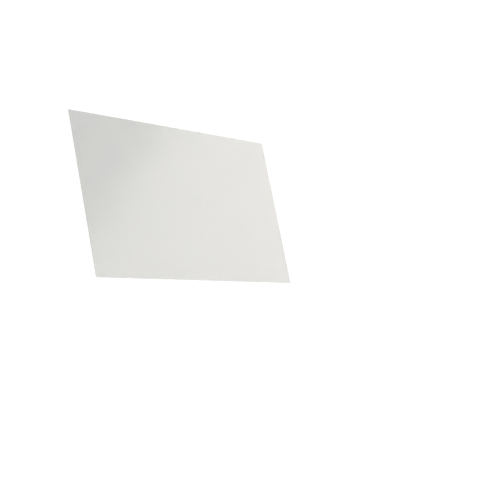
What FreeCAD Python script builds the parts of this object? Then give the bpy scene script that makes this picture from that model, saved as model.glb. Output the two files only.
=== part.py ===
import FreeCAD, Part
import math
import os

# Blue light filter: one flat film of hazy plastic, die-cut to a rectangle with small round corners.
# The film lies on its back. Origin at the centre of the back, +X along the long side,
# +Y along the short side, +Z out of the front.

# Driving dimensions in millimetres
film_width = 344.0
film_height = 193.5
film_thickness = 0.5
corner_radius = 1.0
die_roll_radius = 0.08  # round-over that the cutting die leaves along the front edge


def rounded_rectangle(width, height, radius):
    """Closed outline in the XY plane, centred on the origin: straight sides joined by tangent corner arcs."""
    upward = FreeCAD.Vector(0, 0, 1)
    centre_x = width / 2 - radius
    centre_y = height / 2 - radius
    # corner centres in anticlockwise order, each with the angle at which its arc begins
    corners = [(centre_x, centre_y, 0), (-centre_x, centre_y, 90), (-centre_x, -centre_y, 180),
               (centre_x, -centre_y, 270)]
    arcs = []
    for x, y, start in corners:
        circle = Part.Circle(FreeCAD.Vector(x, y, 0), upward, radius)
        arcs.append(Part.Arc(circle, math.radians(start), math.radians(start + 90)))
    edges = []
    for arc, following in zip(arcs, arcs[1:] + arcs[:1]):
        edges.append(arc.toShape())
        edges.append(Part.LineSegment(arc.EndPoint, following.StartPoint).toShape())
    return Part.Wire(edges)


def filter_film():
    """Sheet with a square back edge, and a front edge that the cutting die has rolled over a little."""
    outline = Part.Face(rounded_rectangle(film_width, film_height, corner_radius))
    sheet = outline.extrude(FreeCAD.Vector(0, 0, film_thickness))
    front = max(sheet.Faces, key=lambda face: face.CenterOfMass.z)
    return sheet.makeFillet(die_roll_radius, front.OuterWire.Edges)


os.makedirs("parts", exist_ok=True)
film = filter_film()
film.exportStep("parts/filter_film.step")
print("filter_film", "valid", film.isValid(), "solids", len(film.Solids), "volume mm3", round(film.Volume, 2))
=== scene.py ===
import math

import bpy
import numpy as np
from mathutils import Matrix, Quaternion, Vector


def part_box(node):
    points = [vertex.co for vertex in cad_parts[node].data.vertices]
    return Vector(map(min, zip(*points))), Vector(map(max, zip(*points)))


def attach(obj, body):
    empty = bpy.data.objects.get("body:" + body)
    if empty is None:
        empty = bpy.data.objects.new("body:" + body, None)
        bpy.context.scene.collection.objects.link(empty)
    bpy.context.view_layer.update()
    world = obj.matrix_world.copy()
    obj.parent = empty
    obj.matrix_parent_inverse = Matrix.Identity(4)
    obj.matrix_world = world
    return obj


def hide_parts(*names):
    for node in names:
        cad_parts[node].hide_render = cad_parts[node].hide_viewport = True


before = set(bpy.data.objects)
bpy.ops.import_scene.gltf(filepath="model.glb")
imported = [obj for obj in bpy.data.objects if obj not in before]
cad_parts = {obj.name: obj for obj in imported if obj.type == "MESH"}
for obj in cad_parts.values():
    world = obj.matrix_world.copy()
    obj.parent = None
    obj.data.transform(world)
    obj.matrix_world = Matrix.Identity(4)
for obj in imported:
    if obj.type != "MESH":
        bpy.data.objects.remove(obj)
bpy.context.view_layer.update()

scene = bpy.context.scene
print("frame loaded:", sorted(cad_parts))


# the film's own shape, in metres; its length, width and thickness come from the frame
filmShape = {
    "cornerRadius": 0.001,
    "dieRoll": 0.00008,  # round-over that the cutting die leaves along the front edge
    "longSteps": 42,  # cells along the straight of a long side
    "shortSteps": 24,  # and of a short one
    "cornerSteps": 6,  # cells across a round corner, each way
    "rollSteps": 6,  # cells over the rolled edge
    "crispAngle": 50,  # degrees; what bends by more stays crisp, as the square edge of the back does
}


def filmLine(half, steps, cornerSteps):
    # one direction of the film's grid: the place on the core, which ends at the corner centres,
    # and the share of the corner radius past it, from 0 on the core to 1 at the edge
    core = np.pad(np.linspace(-half, half, steps + 1), cornerSteps, mode="edge")
    past = np.arange(1, cornerSteps + 1) / cornerSteps
    return core, np.concatenate([-past[::-1], np.zeros(steps + 1), past])


def filmGrid(shape, width, height):
    # a point of the film is its core point plus a reach along its lean; at a corner the lean bends the square
    # of shares into a quarter disc: each share times the root of 1 less half the square of the other share
    radius, cornerSteps = shape["cornerRadius"], shape["cornerSteps"]
    coreX, shareX = filmLine(width / 2 - radius, shape["longSteps"], cornerSteps)
    coreY, shareY = filmLine(height / 2 - radius, shape["shortSteps"], cornerSteps)
    core = np.stack(np.meshgrid(coreX, coreY, indexing="ij"), axis=2)
    shareX, shareY = np.meshgrid(shareX, shareY, indexing="ij")
    lean = np.stack([shareX * np.sqrt(1 - shareY**2 / 2), shareY * np.sqrt(1 - shareX**2 / 2)], axis=2)
    return core, lean


def filmBorder(front):
    # the grid's outer points, once round, anticlockwise from its first corner
    return np.concatenate([front[:-1, 0], front[-1, :-1], front[:0:-1, -1], front[0, :0:-1]])


def filmLayer(core, lean, reach, level):
    # points at one level, each its core plus the reach times its lean
    flat = (core + reach * lean).reshape(-1, 2)
    return np.column_stack([flat, np.full(len(flat), level)])


def filmPoints(shape, core, lean, border, thickness):
    # the front, the back, then the rings of the rolled edge: the ring at angle t reaches
    # radius - roll + roll*sin t at the level thickness - roll + roll*cos t
    radius, roll = shape["cornerRadius"], shape["dieRoll"]
    edgeCore, edgeLean = core.reshape(-1, 2)[border], lean.reshape(-1, 2)[border]
    layers = [filmLayer(core, lean, radius - roll, thickness), filmLayer(core, lean, radius, 0)]
    for angle in np.linspace(0, math.pi / 2, shape["rollSteps"] + 1)[1:]:
        reach = radius - roll + roll * math.sin(angle)
        level = thickness - roll + roll * math.cos(angle)
        layers.append(filmLayer(edgeCore, edgeLean, reach, level))
    return np.concatenate(layers)


def filmFaces(front, border, rollSteps):
    # four-cornered faces, anticlockwise seen from outside: the front, the back, and the rings between them,
    # which run from the front's border over the rolled edge to the back's border
    back = front + front.size
    rolled = 2 * front.size + np.arange(rollSteps * border.size).reshape(rollSteps, -1)
    rings = np.vstack([border, rolled, border + front.size])
    after = np.roll(rings, -1, axis=1)
    quads = [(front[:-1, :-1], front[1:, :-1], front[1:, 1:], front[:-1, 1:]),
             (back[:-1, :-1], back[:-1, 1:], back[1:, 1:], back[1:, :-1]),
             (rings[:-1], rings[1:], after[1:], after[:-1])]
    return np.concatenate([np.stack(corners, axis=2).reshape(-1, 4) for corners in quads])


def makeFilm(name, shape, low, high):
    width, height, thickness = high - low
    core, lean = filmGrid(shape, width, height)
    front = np.arange(core[..., 0].size).reshape(core.shape[:2])
    border = filmBorder(front)
    points = filmPoints(shape, core, lean, border, thickness)
    points += [(low[0] + high[0]) / 2, (low[1] + high[1]) / 2, low[2]]
    mesh = bpy.data.meshes.new(name)
    mesh.from_pydata(points.tolist(), [], filmFaces(front, border, shape["rollSteps"]).tolist())
    mesh.polygons.foreach_set("use_smooth", np.ones(len(mesh.polygons), dtype=bool))
    mesh.set_sharp_from_angle(angle=math.radians(shape["crispAngle"]))
    mesh.update()
    film = bpy.data.objects.new(name, mesh)
    scene.collection.objects.link(film)
    return film


filmLow, filmHigh = (np.array(corner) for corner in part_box("filter_film"))
film = makeFilm("filterFilm", filmShape, filmLow, filmHigh)
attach(film, "root")
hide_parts("filter_film")
print("film:", len(film.data.vertices), "points,", len(film.data.polygons), "faces")


# pale warm grey film with a milky haze and a satin front; sizes in metres
hazyFilm = {
    "tone": (0.555, 0.562, 0.536, 1),
    "warmTone": (0.585, 0.580, 0.546, 1),
    "clouds": {"size": 0.045, "detail": 3},  # patches of the two tones
    "cover": 0.365,  # share of the light that each face stops
    "ior": 1.58,  # polyester
    "specular": 0.9,  # 0.5 is bare polyester, more is a coated front
    "roughness": (0.14, 0.20),
    "satin": {"size": 0.006, "detail": 4},  # patches of roughness
    "grain": {"size": 0.0003, "detail": 2},
    "grainDepth": 0.000006,
    "grainSpeckleAndShade": (0.85, 1.15),  # share of the tone in the grain's pits and on its peaks: speckle in the haze, plus painted shade in the pits and a painted highlight on the peaks
    "noiseSpan": (0.35, 0.65),  # levels that hold most of a noise pattern
}


def setInputs(tree, node, inputs):
    # another node's output is linked, any other value is set on the socket itself
    for name, value in inputs.items():
        if isinstance(value, bpy.types.NodeSocket):
            tree.links.new(value, node.inputs[name])
        else:
            node.inputs[name].default_value = value


def addNode(tree, kind, inputs=None, **settings):
    # the settings come first, because they decide which inputs the node has
    node = tree.nodes.new("ShaderNode" + kind)
    for name, value in settings.items():
        setattr(node, name, value)
    setInputs(tree, node, inputs or {})
    return node


def addNoise(tree, place, noise):
    inputs = {"Vector": place, "Scale": 1 / noise["size"], "Detail": noise["detail"]}
    return addNode(tree, "TexNoise", inputs).outputs["Fac"]


def spreadOver(tree, pattern, span, levels, curve="LINEAR"):
    # the pattern's values within the span, spread over the levels
    inputs = {"Value": pattern, "From Min": span[0], "From Max": span[1],
              "To Min": levels[0], "To Max": levels[1]}
    return addNode(tree, "MapRange", inputs, interpolation_type=curve).outputs["Result"]


def makeHazyFilm(finish):
    material = bpy.data.materials.new("hazyFilm")
    material.use_nodes = True
    tree = material.node_tree
    place = addNode(tree, "TexCoord").outputs["Object"]
    span = finish["noiseSpan"]
    # faint clouds in the haze, speckled by the grain, with painted shade in its pits and a painted highlight
    # on its peaks
    clouds = spreadOver(tree, addNoise(tree, place, finish["clouds"]), span, (0, 1))
    tones = {"Factor": clouds, "A": finish["tone"], "B": finish["warmTone"]}
    haze = addNode(tree, "Mix", tones, data_type="RGBA").outputs["Result"]
    grain = addNoise(tree, place, finish["grain"])
    # the tone follows the grain's relief: painted shade in its pits, painted highlight on its peaks
    grainSpeckleAndShade = spreadOver(tree, grain, span, finish["grainSpeckleAndShade"])
    hazeWithGrainShade = addNode(tree, "VectorMath", {"Vector": haze, "Scale": grainSpeckleAndShade}, operation="SCALE")
    # the satin front is a little uneven, and the grain breaks up glare
    satin = spreadOver(tree, addNoise(tree, place, finish["satin"]), span, finish["roughness"])
    relief = addNode(tree, "Bump", {"Height": grain, "Strength": 1, "Distance": finish["grainDepth"]})
    setInputs(tree, tree.nodes["Principled BSDF"], {
        "Base Color": hazeWithGrainShade.outputs["Vector"],
        "Roughness": satin,
        "Normal": relief.outputs["Normal"],
        "Alpha": finish["cover"],
        "IOR": finish["ior"],
        "Specular IOR Level": finish["specular"],
    })
    return material


film.data.materials.append(makeHazyFilm(hazyFilm))
print("finish: hazy film")


# white paper floor, seen as plain white further out; lengths in metres
studioFloor = {
    "size": 12,
    "drop": 0.0003,  # just under the film, so that the two faces don't flicker
    "colour": (0.86, 0.86, 0.86, 1),
    "lift": (0.35, 1),  # glow for the camera: close to the film, where its shadow shows, and further out
    "fade": (0.5, 1.4),  # distances between which the glow grows
}


def seenDirectly(tree):
    # 1 for rays from the camera, straight, mirrored or through something clear
    path = addNode(tree, "LightPath").outputs
    seen = path["Is Camera Ray"]
    for name in ("Is Glossy Ray", "Is Transmission Ray"):
        seen = addNode(tree, "Math", {0: seen, 1: path[name]}, operation="MAXIMUM").outputs["Value"]
    return seen


def makePaper(floorLook):
    # matt paper plus a glow that is seen but doesn't light the film
    material = bpy.data.materials.new("studioFloor")
    material.use_nodes = True
    tree = material.node_tree
    tree.nodes.remove(tree.nodes["Principled BSDF"])
    place = addNode(tree, "TexCoord").outputs["Object"]
    distance = addNode(tree, "VectorMath", {"Vector": place}, operation="LENGTH").outputs["Value"]
    lift = spreadOver(tree, distance, floorLook["fade"], floorLook["lift"], "SMOOTHSTEP")
    shown = addNode(tree, "Math", {0: lift, 1: seenDirectly(tree)}, operation="MULTIPLY")
    glow = addNode(tree, "Emission", {"Strength": shown.outputs["Value"]})
    paper = addNode(tree, "BsdfDiffuse", {"Color": floorLook["colour"]})
    both = addNode(tree, "AddShader", {0: paper.outputs["BSDF"], 1: glow.outputs["Emission"]})
    setInputs(tree, tree.nodes["Material Output"], {"Surface": both.outputs["Shader"]})
    return material


def makeFloor(name, floorLook):
    bpy.ops.mesh.primitive_plane_add(size=floorLook["size"], location=(0, 0, -floorLook["drop"]))
    floor = bpy.context.object
    floor.name = name
    floor.data.materials.append(makePaper(floorLook))


makeFloor("studioFloor", studioFloor)
print("floor: white paper")


# soft light all round, seen as white, a broad lamp overhead and soft panels that the film mirrors;
# lengths in metres, and a lamp turns by so many degrees about the line from its place to its aim
studioLight = {
    "surround": {"light": (0.44, 0.46, 0.47, 1), "seen": (1, 1, 1, 1)},
    "lamps": {
        "overhead": {"place": (-0.6, 0.5, 2.2), "aim": (0, 0, 0), "turn": 0,
                     "size": (1.8, 1.8), "watts": 21, "colour": (1.0, 0.99, 0.97)},
        "sheenPanel": {"place": (1.227, 0.216, 0.864), "aim": (0.124, -0.166, -0.078), "turn": -56,
                       "size": (1.0, 0.75), "watts": 6.1, "colour": (1.0, 0.93, 0.88)},
        "backPanel": {"place": (-0.62, 1.045, 0.68), "aim": (0, 0, 0), "turn": 20,
                      "size": (0.6, 0.5), "watts": 0.75, "colour": (1.0, 0.95, 0.9)},
        "frontPanel": {"place": (0.676, -1.10, 0.40), "aim": (0, 0, 0), "turn": 20,
                       "size": (0.6, 0.4), "watts": 0.3, "colour": (1.0, 0.95, 0.9)},
    },
}


def makeSurround(surround):
    world = bpy.data.worlds.new("studio")
    world.use_nodes = True
    tree = world.node_tree
    colours = {"Factor": seenDirectly(tree), "A": surround["light"], "B": surround["seen"]}
    shade = addNode(tree, "Mix", colours, data_type="RGBA")
    setInputs(tree, tree.nodes["Background"], {"Color": shade.outputs["Result"]})
    scene.world = world


def pointAt(holder, stance):
    # faces its aim with its top up, then turns about its own line of sight
    facing = (Vector(stance["aim"]) - Vector(stance["place"])).to_track_quat("-Z", "Y")
    holder.location = stance["place"]
    holder.rotation_mode = "QUATERNION"
    holder.rotation_quaternion = facing @ Quaternion((0, 0, 1), math.radians(stance["turn"]))


def makeLamp(name, lamp):
    light = bpy.data.lights.new(name, "AREA")
    light.shape = "RECTANGLE"
    light.size, light.size_y = lamp["size"]
    light.energy = lamp["watts"]
    light.color = lamp["colour"]
    holder = bpy.data.objects.new(name, light)
    holder.visible_camera = False
    pointAt(holder, lamp)
    scene.collection.objects.link(holder)


makeSurround(studioLight["surround"])
for lampName, lamp in studioLight["lamps"].items():
    makeLamp(lampName, lamp)
print("light: surround and", ", ".join(studioLight["lamps"]))


# the photograph's view of the film, with the film laid flat under it
photoView = {
    "place": (-1.021, -0.355, 0.873),
    "aim": (0.0853, -0.0425, 0),
    "turn": 69.17,  # degrees from a level camera
    "lens": 86.2,  # millimetres, as the sensor is
    "sensor": 36,
}


def makeCamera(name, view):
    camera = bpy.data.objects.new(name, bpy.data.cameras.new(name))
    camera.data.lens = view["lens"]
    camera.data.sensor_width = view["sensor"]
    pointAt(camera, view)
    scene.collection.objects.link(camera)
    scene.camera = camera


makeCamera("photoCamera", photoView)
scene.view_settings.view_transform = "Standard"
print("camera: photograph's view")
